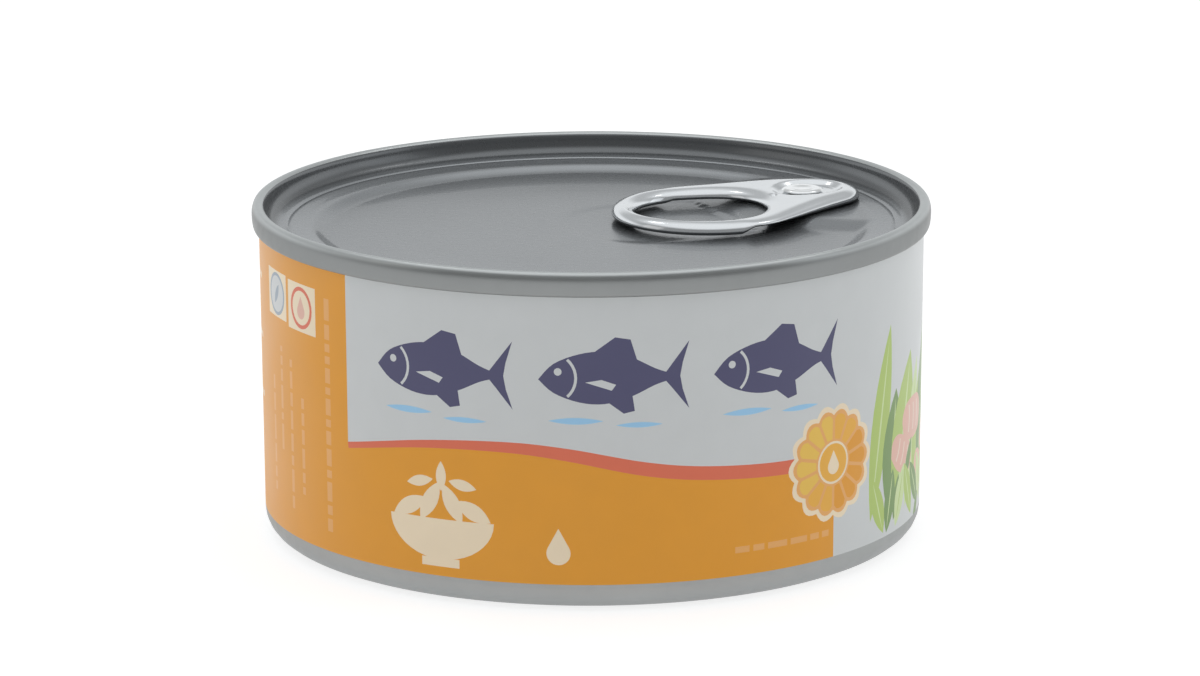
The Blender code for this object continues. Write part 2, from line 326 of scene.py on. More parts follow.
def painted_highlight_rivet_metal():
    """The brightest metal, a painted highlight on the rivet, pressed smooth."""
    return sheet_metal("bright_rivet", (0.94, 0.95, 0.96), 0.14, 0.2, 0.95, FORMED_WAVE)


INK_CLOUD_SCALE = 240.0
INK_GLOSS_SCALE = 60.0
INK_SMOOTH = 0.3
INK_ROUGH = 0.42
INK_RELIEF_SCALE = 1500.0
INK_RELIEF = 0.000004
INK_CHANGE = 0.035


def ink(name, colour):
    """Printing ink under varnish, a little cloudy, on a wall that isn't quite even."""
    material, tree, shader = new_material(name)
    cloud = noise_at(tree, INK_CLOUD_SCALE, detail=5.0)
    gloss = noise_at(tree, INK_GLOSS_SCALE)
    tree.links.new(tinted(tree, cloud, colour, INK_CHANGE), shader.inputs["Base Color"])
    tree.links.new(spread(tree, gloss, INK_SMOOTH, INK_ROUGH), shader.inputs["Roughness"])
    set_relief(tree, shader, noise_at(tree, INK_RELIEF_SCALE, detail=2.0), INK_RELIEF)
    return material


# The inks' colours. Their order is the order of the wall's material slots.
INKS = {
    "pale": (0.61, 0.63, 0.635),
    "orange": (0.77, 0.32, 0.01),
    "orange_faint": (0.80, 0.40, 0.12),
    "red": (0.72, 0.15, 0.075),
    "navy": (0.068, 0.066, 0.15),
    "sky": (0.32, 0.58, 0.82),
    "cream": (0.86, 0.72, 0.52),
    "amber": (0.82, 0.42, 0.045),
    "yellow": (0.82, 0.52, 0.08),
    "leaf": (0.42, 0.56, 0.13),
    "leaf_deep": (0.17, 0.29, 0.08),
    "leaf_pale": (0.58, 0.70, 0.34),
    "pink": (0.76, 0.45, 0.36),
    "pink_pale": (0.82, 0.64, 0.54),
    "smoke": (0.32, 0.38, 0.45),
}


# The print, drawn on the unrolled wall: s runs right along the wall from the middle of the
# front, h runs up from the standing surface. Both are in millimetres.
PRINT_RADIUS = 42.65
HALF_TURN = pi * PRINT_RADIUS
PRINT_LOW = 3.4
WALL_TOP_Z = SEAM_FOOT_Z - 0.05
PRINT_HIGH = WALL_TOP_Z - 0.02
SIDE_PANEL_LEFT = -92.0
FRONT_LEFT = -33.8
FRONT_RIGHT = 33.5
WALL_COLUMNS = 192


class Artwork:
    """Closed outlines with an ink each; a later one lies over an earlier one."""

    def __init__(self):
        self.shapes = []

    def add(self, colour, outline):
        self.shapes.append((colour, outline))

    def box(self, colour, left, right, low, high):
        self.add(colour, [(left, low), (right, low), (right, high), (left, high)])

    def disc(self, colour, s, h, radius, steps=28):
        self.add(colour, circle(s, h, radius, steps))

    def ring(self, colour, inside, s, h, radius, width):
        self.disc(colour, s, h, radius)
        self.disc(inside, s, h, radius - width)

    def stroke(self, colour, line, widths):
        """A line with a width at each of its points."""
        left, right = [], []
        for index, (s, h) in enumerate(line):
            before = line[max(index - 1, 0)]
            after = line[min(index + 1, len(line) - 1)]
            run, rise = after[0] - before[0], after[1] - before[1]
            length = hypot(run, rise)
            across = widths[index] / 2.0 / length
            left.append((s - rise * across, h + run * across))
            right.append((s + rise * across, h - run * across))
        self.add(colour, right + left[::-1])

    def lens(self, colour, s, h, half_length, half_width, turn, steps=9):
        """A pointed leaf shape: two arcs that meet at its tips."""
        outline = []
        for side in (1.0, -1.0):
            for step in range(steps):
                along = -1.0 + 2.0 * step / steps
                outline.append((side * along * half_length, -side * (1.0 - along * along) * half_width))
        self.add(colour, turned_about(outline, s, h, turn))


def turned_about(outline, s, h, turn, size=1.0):
    """An outline made larger, turned about its own origin by degrees and moved to a place."""
    c, d = cos(radians(turn)), sin(radians(turn))
    sized = [(x * size, y * size) for x, y in outline]
    return [(s + x * c - y * d, h + x * d + y * c) for x, y in sized]


def around(s, h, reach, angle):
    """A place at this reach from another, the angle in radians."""
    return (s + reach * cos(angle), h + reach * sin(angle))


# The line between the pale field and the orange one.
WAVE = [
    (FRONT_LEFT, 18.0), (-22.0, 20.0), (-11.3, 20.6), (-3.0, 19.9),
    (7.1, 17.9), (15.2, 16.9), (26.8, 16.3), (FRONT_RIGHT, 16.9),
]
WAVE_WIDTH_LEFT = 0.8
WAVE_WIDTH_RIGHT = 1.75
WAVE_GROWTH = 1.6
GROUND_MARGIN = 0.01


def draw_fields(art):
    """The pale ground, the orange panel at the left and the orange field under the wave."""
    edge = HALF_TURN - GROUND_MARGIN
    art.box("pale", -edge, edge, PRINT_LOW, WALL_TOP_Z - GROUND_MARGIN)
    art.box("orange", SIDE_PANEL_LEFT, FRONT_LEFT, PRINT_LOW, PRINT_HIGH)
    wave = smooth_line(WAVE, 7)
    art.add("orange", [(FRONT_LEFT, PRINT_LOW), (FRONT_RIGHT, PRINT_LOW)] + wave[::-1])
    span, growth = FRONT_RIGHT - FRONT_LEFT, WAVE_WIDTH_RIGHT - WAVE_WIDTH_LEFT
    widths = [WAVE_WIDTH_LEFT + growth * ease((s - FRONT_LEFT) / span * WAVE_GROWTH) for s, _ in wave]
    art.stroke("red", wave, widths)


# The length that the fish's points are drawn at.
FISH_DRAWN_LENGTH = 17.8
FISH_LENGTH = 18.6
FISH_MIDDLES = (-19.6, 2.2, 24.0)
FISH_HEIGHT = 29.6
WATER_HEIGHT = 24.2


def fish_outline():
    """A plain fish that swims to the left, drawn round its own middle."""
    back = [(-8.4, -0.2), (-6.6, 1.7), (-3.6, 2.9), (-0.6, 3.2), (2.4, 2.5), (5.2, 1.1), (6.6, 0.55)]
    belly = [(6.6, -0.55), (5.2, -1.0), (2.4, -2.3), (-0.6, -3.1), (-3.6, -2.9), (-6.6, -1.8), (-8.4, -0.2)]
    tail = [(7.4, 1.6), (9.4, 4.2), (8.6, 1.6), (8.3, 0.0), (8.6, -1.6), (9.4, -4.0), (7.4, -1.5)]
    return (smooth_line(back, 4) + tail + smooth_line(belly, 4)[:-1])[::-1]


def draw_fish(art, s, h, length):
    """A navy fish with its fins, gill line and eye."""
    scale = length / FISH_DRAWN_LENGTH

    def placed(outline):
        return [(s + x * scale, h + y * scale) for x, y in outline]

    art.add("navy", placed([(-2.6, 2.6), (0.6, 2.8), (3.2, 2.0), (2.4, 4.6), (0.6, 4.9)]))
    art.add("navy", placed([(-0.4, -2.8), (2.6, -2.0), (2.9, -4.0), (1.6, -4.3)]))
    art.add("navy", placed(fish_outline()))
    gill = placed(arc(-7.0, 0.0, 3.0, -48.0, 48.0, 10))
    art.stroke("pale", gill, [0.34 * scale] * len(gill))
    art.add("pale", placed([(-2.9, -0.5), (0.2, -1.5), (0.7, -0.8), (-1.0, -0.2)]))
    art.disc("pale", s - 6.1 * scale, h + 0.75 * scale, 0.46 * scale, 14)


def draw_fish_row(art):
    """Three fish of one size over short strokes of water."""
    for s in FISH_MIDDLES:
        draw_fish(art, s, FISH_HEIGHT, FISH_LENGTH)
        for index, (shift, drop, half) in enumerate(((-4.2, 0.0, 3.4), (3.6, 0.55, 2.9))):
            art.lens("sky", s + shift, WATER_HEIGHT - drop, half, 0.42 - 0.08 * index, 0.0)


BOWL_PLACE = (-19.5, 10.7)
BOWL_RADIUS = 7.2
BOWL_FLATNESS = 0.72
# Each flake's place from the middle of the bowl's rim, its turn and half its length.
FLAKES = [(-4.3, 1.3, 28.0, 2.7), (-1.4, 2.2, 62.0, 2.9), (1.7, 2.1, 118.0, 2.8), (4.5, 1.3, 152.0, 2.6)]
TOP_FLAKES = [(-2.8, 0.0, 12.0), (0.2, 0.9, 90.0), (3.1, 0.0, 168.0)]
TOP_FLAKE_RISE = 4.6


def draw_bowl(art, s, h):
    """A cream bowl heaped with flakes."""
    bowl = arc(s, h, BOWL_RADIUS, 180.0, 360.0, 20)
    art.add("cream", [(x, h + (y - h) * BOWL_FLATNESS) for x, y in bowl])
    art.box("cream", s - 2.6, s + 2.6, h - 6.1, h - 5.0)
    for offset, rise, turn, half in FLAKES:
        art.lens("cream", s + offset, h + rise, half, 1.05, turn)
    for offset, lift, turn in TOP_FLAKES:
        art.lens("cream", s + offset, h + TOP_FLAKE_RISE + lift, 1.9, 0.7, turn)


DROP_HEIGHT = 2.1


def drop_outline(s, h, size):
    """A drop of oil, round below and pointed above."""
    round_part = arc(s, h, size, 152.0, 388.0, 18)
    return round_part + [(s, h + size * DROP_HEIGHT)]


BAR_LENGTHS = (0.8, 3.4)
BAR_GAP = 0.55
BAR_LEAST = 0.5


def draw_bars(art, colour, draw, left, right, low, high, upright=False):
    """A line of small print as plain bars of uneven length."""
    start, end = (low, high) if upright else (left, right)
    place = start
    while place < end - BAR_LEAST:
        length = min(draw.uniform(*BAR_LENGTHS), end - place)
        if upright:
            art.box(colour, left, right, place, place + length)
        else:
            art.box(colour, place, place + length, low, high)
        place += length + BAR_GAP


def draw_marks(art):
    """Two pale squares, each with a plain ring."""
    art.box("cream", -54.4, -47.7, 31.0, 37.0)
    art.ring("smoke", "pale", -51.0, 34.0, 2.75, 0.42)
    art.lens("smoke", -51.0, 34.0, 1.5, 0.5, 60.0)
    art.box("cream", -47.0, -40.0, 30.6, 36.8)
    art.ring("red", "cream", -43.5, 33.7, 2.7, 0.5)
    art.add("pink", drop_outline(-43.5, 33.2, 0.95))


def draw_small_print(art, draw):
    """Upright and level lines of small print, as bars."""
    draw_bars(art, "orange_faint", draw, -38.1, -37.1, 6.0, 36.0, True)
    for column, (low, high) in enumerate(((8.0, 24.0), (14.0, 27.5), (7.0, 27.0), (9.5, 22.0))):
        left = -53.2 + 3.1 * column
        draw_bars(art, "orange_faint", draw, left, left + 0.7, low, high, True)
    draw_bars(art, "orange_faint", draw, 18.2, 32.6, 6.3, 7.1)
    for row in range(9):
        right, drop = -60.0 - 3.0 * (row % 3), 2.6 * row
        draw_bars(art, "cream", draw, -86.0, right, 34.0 - drop, 34.8 - drop)


BADGE_PLACE = (33.35, 15.6)
BADGE_LOBES = 14
PETAL_INNER = 3.05
PETAL_OUTER = 5.6
PETAL_BULGE = 0.62
PETAL_GAP = 2.2


def scalloped(s, h, radius, depth):
    """A round outline with shallow lobes."""
    outline = []
    steps = BADGE_LOBES * 6
    for step in range(steps):
        angle = 2.0 * pi * step / steps
        outline.append(around(s, h, radius + depth * (abs(cos(angle * BADGE_LOBES / 2.0)) - 0.5), angle))
    return outline


def draw_badge(art, s, h):
    """A plain rosette: lobed rim, petals from yellow to orange and a drop in its middle."""
    art.add("cream", scalloped(s, h, 7.15, 0.75))
    art.add("orange_faint", scalloped(s, h, 6.45, 0.7))
    half = radians(180.0 / BADGE_LOBES - PETAL_GAP)
    for index in range(BADGE_LOBES):
        angle = 360.0 * index / BADGE_LOBES
        away = cos(radians(angle - 150.0))
        colour = "yellow" if away > 0.35 else "amber" if away > -0.4 else "orange"
        petal = []
        for step in range(7):
            reach = PETAL_OUTER + PETAL_BULGE * sqrt(max(0.0, 1.0 - ((step - 3.0) / 3.0) ** 2))
            petal.append(around(s, h, reach, radians(angle) - half + 2.0 * half * step / 6.0))
        for side in (0.8, -0.8):
            petal.append(around(s, h, PETAL_INNER, radians(angle) + side * half))
        art.add(colour, petal)
    art.ring("cream", "amber", s, h, 2.75, 0.3)
    art.add("cream", drop_outline(s, h - 0.5, 1.0))


RIB_LENGTH = 0.86
RIB_WIDTH = 0.09


def draw_leaf(art, s, h, half_length, half_width, turn, colour):
    """A leaf with a rib."""
    art.lens(colour, s, h, half_length, half_width, turn)
    rib = "leaf_pale" if colour != "leaf_pale" else "leaf"
    art.lens(rib, s, h, half_length * RIB_LENGTH, half_width * RIB_WIDTH, turn)


def draw_chunk(art, s, h, size, turn):
    """A pink piece of fish with paler grain."""
    outline = [(-1.0, -0.45), (-0.2, -0.7), (0.9, -0.5), (1.1, 0.2), (0.5, 0.62), (-0.7, 0.55), (-1.15, 0.1)]
    closed = smooth_line(outline + outline[:1], 4)[:-1]
    art.add("pink", turned_about(closed, s, h, turn, size))
    for shift in (-0.55, -0.05, 0.45):
        line = turned_about(arc(shift - 1.2, 0.0, 1.3, -19.0, 19.0, 5), s, h, turn, size)
        art.stroke("pink_pale", line, [0.09 * size] * len(line))


def draw_salad(art, draw):
    """Leaves and pieces of fish, from the front's right edge round to the back."""
    greens = ("leaf", "leaf_deep", "leaf_pale")
    for index in range(13):
        s = 43.5 + 3.6 * index
        tall = 21.0 - 7.0 * abs(sin(index * 1.3))
        h = PRINT_LOW + tall * 0.72
        colour = ("leaf", "leaf_deep", "leaf", "leaf_pale")[index % 4]
        draw_leaf(art, s, h, tall * 0.6, 2.2 + 0.8 * (index % 3), 90.0 + draw.uniform(-16.0, 16.0), colour)
    for index in range(9):
        s = 50.5 + 4.6 * index
        h = 13.0 + 4.5 * sin(index * 2.1)
        draw_chunk(art, s, h, draw.uniform(3.2, 4.2), draw.uniform(-35.0, 35.0))
        art.lens("leaf_deep", s - 2.2, h - 5.2, 3.0, 0.9, draw.uniform(40.0, 80.0))
    for index in range(15):
        s = 43.0 + 3.3 * index
        turn = 90.0 + draw.uniform(-38.0, 38.0)
        draw_leaf(art, s, PRINT_LOW + 4.4, 4.1, 1.5, turn, greens[index % 3])


TABLE_LEFT = -130.0
TABLE_RIGHT = -104.0
STRIPES_LEFT = 104.0
STRIPES_RIGHT = 124.0


def draw_back(art, draw):
    """A pale panel with a framed table of bars and a block of uneven stripes."""
    art.box("navy", TABLE_LEFT, TABLE_RIGHT, 8.0, 35.0)
    art.box("pale", TABLE_LEFT + 0.4, TABLE_RIGHT - 0.4, 8.4, 34.6)
    for row in range(9):
        h = 31.0 - 2.7 * row
        bars_right = TABLE_LEFT + 11.0 + 2.0 * (row % 4)
        draw_bars(art, "navy", draw, TABLE_LEFT + 1.5, bars_right, h, h + 0.9)
        art.box("navy", TABLE_RIGHT - 5.5, TABLE_RIGHT - 1.5 - 0.8 * (row % 2), h, h + 0.9)
        art.box("smoke", TABLE_LEFT + 1.0, TABLE_RIGHT - 1.0, h - 0.9, h - 0.75)
    place = STRIPES_LEFT
    while place < STRIPES_RIGHT:
        width = draw.choice((0.35, 0.35, 0.7, 1.05))
        art.box("navy", place, place + width, 9.0, 24.0)
        place += width + draw.choice((0.35, 0.55, 0.8))


PRINT_SEED = 7


def draw_print():
    """The whole print, each shape over those before it."""
    draw = random.Random(PRINT_SEED)
    art = Artwork()
    draw_fields(art)
    draw_fish_row(art)
    draw_bowl(art, *BOWL_PLACE)
    art.add("cream", drop_outline(-4.2, 7.4, 1.5))
    draw_marks(art)
    draw_small_print(art, draw)
    draw_salad(art, draw)
    draw_badge(art, *BADGE_PLACE)
    draw_back(art, draw)
    return art


def inside(points, outline):
    """Which points lie in a closed outline, as an array of true and false."""
    x, y = points[:, 0], points[:, 1]
    found = np.zeros(len(points), bool)
    for (x0, y0), (x1, y1) in zip(outline, outline[1:] + outline[:1]):
        if y0 == y1:
            continue
        crosses = (y0 > y) != (y1 > y)
        found ^= crosses & (x < (x1 - x0) * (y - y0) / (y1 - y0) + x0)
    return found


# The wall and the base.

STAND_RADIUS = WALL_BASE_RADIUS - CORNER_RADIUS
CORNER_LENGTH = radians(90.0) * CORNER_RADIUS
CORNER_ROWS = 6
WALL_ROWS = (10.0, 16.0, 22.0, 28.0, 34.0)
# The slot of the bare metal, after those of the inks.
BARE = len(INKS)
# Points of the wall nearer than this, in metres, are one.
WALL_WELD = 0.000002
ROW_TOLERANCE = 0.000001


def wall_place(h):
    """Radius and height of a place on the unrolled wall."""
    if h >= CORNER_RADIUS:
        share = (h - CORNER_RADIUS) / (WALL_TOP_Z - CORNER_RADIUS)
        return WALL_BASE_RADIUS + WALL_TAPER * share, h
    angle = (CORNER_RADIUS - h) / CORNER_RADIUS
    return STAND_RADIUS + CORNER_RADIUS * cos(angle), CORNER_RADIUS - CORNER_RADIUS * sin(angle)


def unrolled_wall(art):
    """Triangles of the unrolled wall, split along every outline, with an ink for each."""
    rows = [CORNER_RADIUS - CORNER_LENGTH * (1.0 - step / CORNER_ROWS) for step in range(CORNER_ROWS)]
    rows += [CORNER_RADIUS, PRINT_LOW, *WALL_ROWS, WALL_TOP_Z]
    points, edges = [], []
    columns = WALL_COLUMNS + 1
    for row, h in enumerate(rows):
        for column in range(columns):
            points.append((HALF_TURN * (2.0 * column / WALL_COLUMNS - 1.0), h))
            if column:
                edges.append((row * columns + column - 1, row * columns + column))
            if row:
                edges.append(((row - 1) * columns + column, row * columns + column))
    for _, outline in art.shapes:
        edges += loop_edges(len(points), len(outline))
        points += outline
    places, faces = triangles_of(points, edges)
    places, faces = np.array(places), np.array(faces)
    middles = places[faces].mean(axis=1)
    inks = np.full(len(faces), BARE)
    names = list(INKS)
    for colour, outline in art.shapes:
        inks[inside(middles, outline)] = names.index(colour)
    inks[middles[:, 1] < PRINT_LOW] = BARE
    return places, faces, inks


BAKE_ROWS = 3
BAKE_WALL_SHARE = 0.8
BAKE_MARGIN = 0.005
# Left, low and size of the squares for the base and the mouth.
BASE_SQUARE = (0.02, 0.82, 0.17)
MOUTH_SQUARE = (0.22, 0.82, 0.17)


def wall_map(s, h, row):
    """Where a place on the unrolled wall lies on the bake's map: three strips, one over another."""
    low = CORNER_RADIUS - CORNER_LENGTH
    width = 2.0 * HALF_TURN / BAKE_ROWS
    u = (s + HALF_TURN - width * row) / width
    v = (h - low) / (WALL_TOP_Z - low)
    u = BAKE_MARGIN + (1.0 - 2.0 * BAKE_MARGIN) * u
    v = 2.0 * BAKE_MARGIN + (1.0 - 4.0 * BAKE_MARGIN) * v
    return u, (row + v) * BAKE_WALL_SHARE / BAKE_ROWS


def base_rings():
    """Radius and height from the stand ring to the middle of the base."""
    return [
        (37.8, 0.0), (37.55, 0.05), (37.3, 0.25), (36.6, 1.1), (36.35, 1.26), (36.0, 1.3),
        (28.8, 1.3), (28.55, 1.24), (28.0, 0.85), (27.75, 0.77), (27.5, 0.75), (26.5, 0.75), (26.25, 0.77),
        (26.0, 0.85), (25.45, 1.24), (25.2, 1.3), (12.0, 1.3),
    ]


def mouth_rings():
    """Radius and height from the wall's top down into the mouth, under the end."""
    mouth_radius = PLUG_RADIUS + FIT_GAP
    mouth_z = END_UNDER_Z - FIT_GAP
    return [(mouth_radius, WALL_TOP_Z), (mouth_radius, mouth_z), (LAST_RING_RADIUS, mouth_z)]


def round_place(s, radius, height):
    """From the unrolled wall's s, a radius and a height to the frame. The front faces -Y."""
    angle = s / PRINT_RADIUS
    return Vector((radius * sin(angle), -radius * cos(angle), height)) * MM


def add_rings(work, row, rings, slot_index, upward):
    """Carry a closed row of points on through rings and close it in the middle."""
    faces = []

    def join(*corners):
        face = work.faces.new(corners if upward else corners[::-1])
        face.material_index = slot_index
        face.smooth = True
        faces.append(face)

    count = len(row)
    last = row
    for radius, height in rings:
        fresh = []
        for point in last:
            flat = Vector((point.co.x, point.co.y, 0.0)).normalized() * radius * MM
            fresh.append(work.verts.new((flat.x, flat.y, height * MM)))
        for index in range(count):
            after = (index + 1) % count
            join(last[index], last[after], fresh[after], fresh[index])
        last = fresh
    middle = work.verts.new((0.0, 0.0, rings[-1][1] * MM))
    for index in range(count):
        join(last[index], last[(index + 1) % count], middle)
    return faces


def map_round(layer, faces, left, low, size):
    """Map faces onto a square of the bake's map as seen from above."""
    reach = 2.0 * SEAM_RADIUS * MM
    for face in faces:
        for loop in face.loops:
            place = loop.vert.co
            loop[layer].uv = (left + size * (0.5 + place.x / reach), low + size * (0.5 + place.y / reach))


def make_wall():
    """The can's body: printed wall, bare corner, base and mouth, as one closed mesh."""
    places, faces, inks = unrolled_wall(draw_print())
    work = bmesh.new()
    layer = work.loops.layers.uv.new("OFBake")
    strip = 2.0 * HALF_TURN / BAKE_ROWS
    points = []
    for s, h in places:
        points.append(work.verts.new(round_place(s, *wall_place(h))))
    for corners, slot_index in zip(faces, inks):
        face = work.faces.new([points[corner] for corner in corners])
        face.material_index = int(slot_index)
        face.smooth = True
        row = min(int((places[corners][:, 0].mean() + HALF_TURN) / strip), BAKE_ROWS - 1)
        for loop, corner in zip(face.loops, corners):
            loop[layer].uv = wall_map(*places[corner], row)
    bmesh.ops.remove_doubles(work, verts=work.verts, dist=WALL_WELD)
    low_row = sorted_row(work, 0.0)
    high_row = sorted_row(work, WALL_TOP_Z * MM)
    base = add_rings(work, low_row, base_rings(), BARE, False)
    mouth = add_rings(work, high_row, mouth_rings(), BARE, True)
    map_round(layer, base, *BASE_SQUARE)
    map_round(layer, mouth, *MOUTH_SQUARE)
    materials = [ink("print_" + name, colour) for name, colour in INKS.items()] + [wall_metal()]
    mesh = finished_mesh(work, "printed_body", materials, 40.0)
    set_wall_normals(mesh)
    new_piece("printed_body", mesh, "can_body")


def sorted_row(work, height):
    """The points of a closed row at one height, in order round the can."""
    row = [point for point in work.verts if abs(point.co.z - height) < ROW_TOLERANCE]
    return sorted(row, key=lambda point: atan2(point.co.y, point.co.x))


# A face whose normal rises more steeply than this lies level and keeps its own normals.
LEVEL_NORMAL = 0.985
STAND_MARGIN = 0.01


def set_wall_normals(mesh):
    """Give the wall true round normals, so that the uneven triangles of the print don't show."""
    normals = []
    for polygon in mesh.polygons:
        for index in polygon.vertices:
            place = mesh.vertices[index].co
            radius = hypot(place.x, place.y) / MM
            upright = abs(polygon.normal.z) < LEVEL_NORMAL and polygon.area > 0.0
            facing = polygon.normal.x * place.x + polygon.normal.y * place.y
            if not upright or facing <= 0.0 or radius <= STAND_RADIUS + STAND_MARGIN:
                normals.append((0.0, 0.0, 0.0))
                continue
            down = (min(place.z / MM, CORNER_RADIUS) - CORNER_RADIUS) / CORNER_RADIUS
            out = sqrt(max(0.0, 1.0 - down * down))
            normals.append((place.x / MM / radius * out, place.y / MM / radius * out, down))
    mesh.normals_split_custom_set(normals)


# The end.

END_SPOKES = 384
PANEL_RINGS = 39
PANEL_FLAT_RADIUS = 23.4
# Radius and rise above the panel, which leans up a little towards its step.
STEP_POINTS = [
    (24.0, 0.0), (26.0, 0.02), (28.5, 0.07), (31.0, 0.12), (33.0, 0.16), (33.9, 0.2), (34.5, 0.33),
    (35.05, 0.53), (35.6, 0.77), (36.0, 0.88), (36.5, 0.93), (37.2, 0.97),
]
# Radius and rise above the outer ring's height, out to the score line that the end tears along.
RING_POINTS = [(37.9, -0.01), (38.5, 0.05), (38.88, 0.09), (38.96, 0.04), (39.04, 0.04), (39.12, 0.11)]
# Radius past the drawn wall's foot and rise above the ring, then radius past the seam's inner
# side and drop from its top, then how far short of its full radius and drop from its top.
CHUCK_POINTS = [(-0.7, 0.18), (-0.05, 0.27), (0.5, 0.42), (0.95, 0.72), (1.27, 1.2), (1.47, 1.8)]
SEAM_INSIDE_POINTS = [(-0.35, 0.65), (-0.2, 0.3), (0.05, 0.1), (0.35, 0.01), (0.6, 0.0)]
SEAM_OUTSIDE_POINTS = [
    (0.4, 0.1), (0.17, 0.38), (0.04, 0.85), (0.0, 1.4), (0.04, 2.1), (0.14, 2.7), (0.36, 3.0),
    (0.85, SEAM_HEIGHT),
]
# The panel's own relief ends here, and the seam's metal starts further out.
RELIEF_RADIUS = CHUCK_FOOT_RADIUS - 0.6
SEAM_METAL_RADIUS = CHUCK_FOOT_RADIUS + 1.8
WELL_DEPTH = 0.16
WELL_HALF_LENGTH = 14.0
WELL_HALF_WIDTH = 12.8
WELL_CENTRE = 10.5
WELL_SLOPE = 2.6
WELL_ROUNDNESS = 2.6
PLATEAU_CENTRE = 36.0
PLATEAU_HALF_LENGTH = 10.5
PLATEAU_HALF_WIDTH = 14.0
PLATEAU_SLOPE = 5.5
PLATEAU_TOP_Z = RING_FLAT_Z - 0.1
# Where the plateau's slope meets the panel and the ring, the two flow together.
PLATEAU_BLEND_START = 19.0
PLATEAU_BLEND_LENGTH = 7.0
PLATEAU_BLEND = 0.2


def end_surface(radius, angle, height):
    """The panel's own relief at a place: the well is sunk and the plateau raised."""
    turn = angle - radians(END_TURN)
    along, across = radius * cos(turn), radius * sin(turn)
    wide = abs((along - WELL_CENTRE) / WELL_HALF_LENGTH) ** WELL_ROUNDNESS
    wide += abs(across / WELL_HALF_WIDTH) ** WELL_ROUNDNESS
    from_rim = (1.0 - wide ** (1.0 / WELL_ROUNDNESS)) * WELL_HALF_WIDTH
    height -= WELL_DEPTH * ease(from_rim / WELL_SLOPE)
    if along < PLATEAU_BLEND_START:
        return height
    reach = hypot((along - PLATEAU_CENTRE) / PLATEAU_HALF_LENGTH, across / PLATEAU_HALF_WIDTH)
    rise = (PLATEAU_TOP_Z - PANEL_Z) * ease(1.0 - (reach - 1.0) * PLATEAU_HALF_LENGTH / PLATEAU_SLOPE)
    blend = PLATEAU_BLEND * ease((along - PLATEAU_BLEND_START) / PLATEAU_BLEND_LENGTH)
    raised = PANEL_Z + rise
    return (height + raised + hypot(height - raised, blend)) / 2.0


def end_rings():
    """Radius and height from near the middle out over the panel, ring, chuck wall and seam."""
    rings = [(PANEL_FLAT_RADIUS * step / PANEL_RINGS, PANEL_Z) for step in range(1, PANEL_RINGS + 1)]
    rings += [(radius, PANEL_Z + rise) for radius, rise in smooth_line(STEP_POINTS, 4)]
    rings += [(radius, RING_FLAT_Z + rise) for radius, rise in RING_POINTS]
    line = [(CHUCK_FOOT_RADIUS + past, RING_FLAT_Z + rise) for past, rise in CHUCK_POINTS]
    line += [(SEAM_RADIUS - SEAM_THICKNESS + past, CAN_HEIGHT - drop) for past, drop in SEAM_INSIDE_POINTS]
    line += [(SEAM_RADIUS - short, CAN_HEIGHT - drop) for short, drop in SEAM_OUTSIDE_POINTS]
    for radius, height in smooth_line(line, 4):
        rings.append((min(radius, SEAM_RADIUS), min(height, CAN_HEIGHT)))
    return rings


def make_end():
    """The end as one closed turned mesh whose panel has its own relief."""
    work = bmesh.new()
    top = work.verts.new((0.0, 0.0, end_surface(0.0, 0.0, PANEL_Z) * MM))
    last = None
    for radius, height in end_rings():
        row = []
        for spoke in range(END_SPOKES):
            angle = 2.0 * pi * spoke / END_SPOKES
            z = end_surface(radius, angle, height) if radius < RELIEF_RADIUS else height
            row.append(work.verts.new((radius * cos(angle) * MM, radius * sin(angle) * MM, z * MM)))
        for spoke in range(END_SPOKES):
            after = (spoke + 1) % END_SPOKES
            if last:
                face = work.faces.new((last[spoke], row[spoke], row[after], last[after]))
                # Faces out past this radius take the seam's metal: painted shade and a painted highlight on
                # its crown.
                face.material_index = int(radius > SEAM_METAL_RADIUS)
            else:
                face = work.faces.new((top, row[spoke], row[after]))
            face.smooth = True
        last = row
    under = [(PLUG_RADIUS, SEAM_FOOT_Z), (PLUG_RADIUS, END_UNDER_Z), (LAST_RING_RADIUS, END_UNDER_Z)]
    add_rings(work, last, under, 0, False)
    mesh = finished_mesh(work, "seamed_end", [end_metal(), seam_metal()], 50.0)
    new_piece("seamed_end", mesh, "can_end")


# The ring pull, drawn with its ring's centre at the origin and its nose along +X.

RIVET_FROM_MIDDLE = 30.27
RIVET_FROM_RING = 14.0
TAB_TWIST = 2.5
TAB_RING_RADIUS = 12.5
TAB_NOSE_RADIUS = 6.5
TAB_NOSE_CENTRE = 15.1
TAB_HOLE_RADIUS = 8.65
TAB_HOLE_SHIFT = -1.1
TAB_THICKNESS = 1.35
TAB_LIFT = 0.57
TAB_RISE = 0.8
TAB_TOP_RISE_START = 1.0
TAB_TOP_RISE_END = 15.5
HEEL_START = -1.6
HEEL_END = 0.6
RIVET_SHANK_RADIUS = 1.5
RIVET_HOLE_RADIUS = RIVET_SHANK_RADIUS + FIT_GAP
EDGE_ROUND = 0.5
CROWN = 0.66
CROWN_REACH = 1.9
# The curled edges hang a little lower than the plain band.
CURL_DEPTH = 0.24
# Round the finger hole the curl is as deep as the ring's. Further out it fades over this width.
INNER_CURL_WIDTH = 1.0
DISH_CENTRE = 14.7
DISH_HALF_LENGTH = 5.0
DISH_HALF_WIDTH = 4.5
DISH_DEPTH = 0.55
DISH_WALL = 1.1
UNDERCUT_DEPTH = 0.35


def tab_bottom(x):
    """Height of the tab's underside, which rises in front of the heel."""
    return PANEL_Z + TAB_LIFT - CURL_DEPTH + TAB_RISE * ease((x - HEEL_START) / (HEEL_END - HEEL_START))


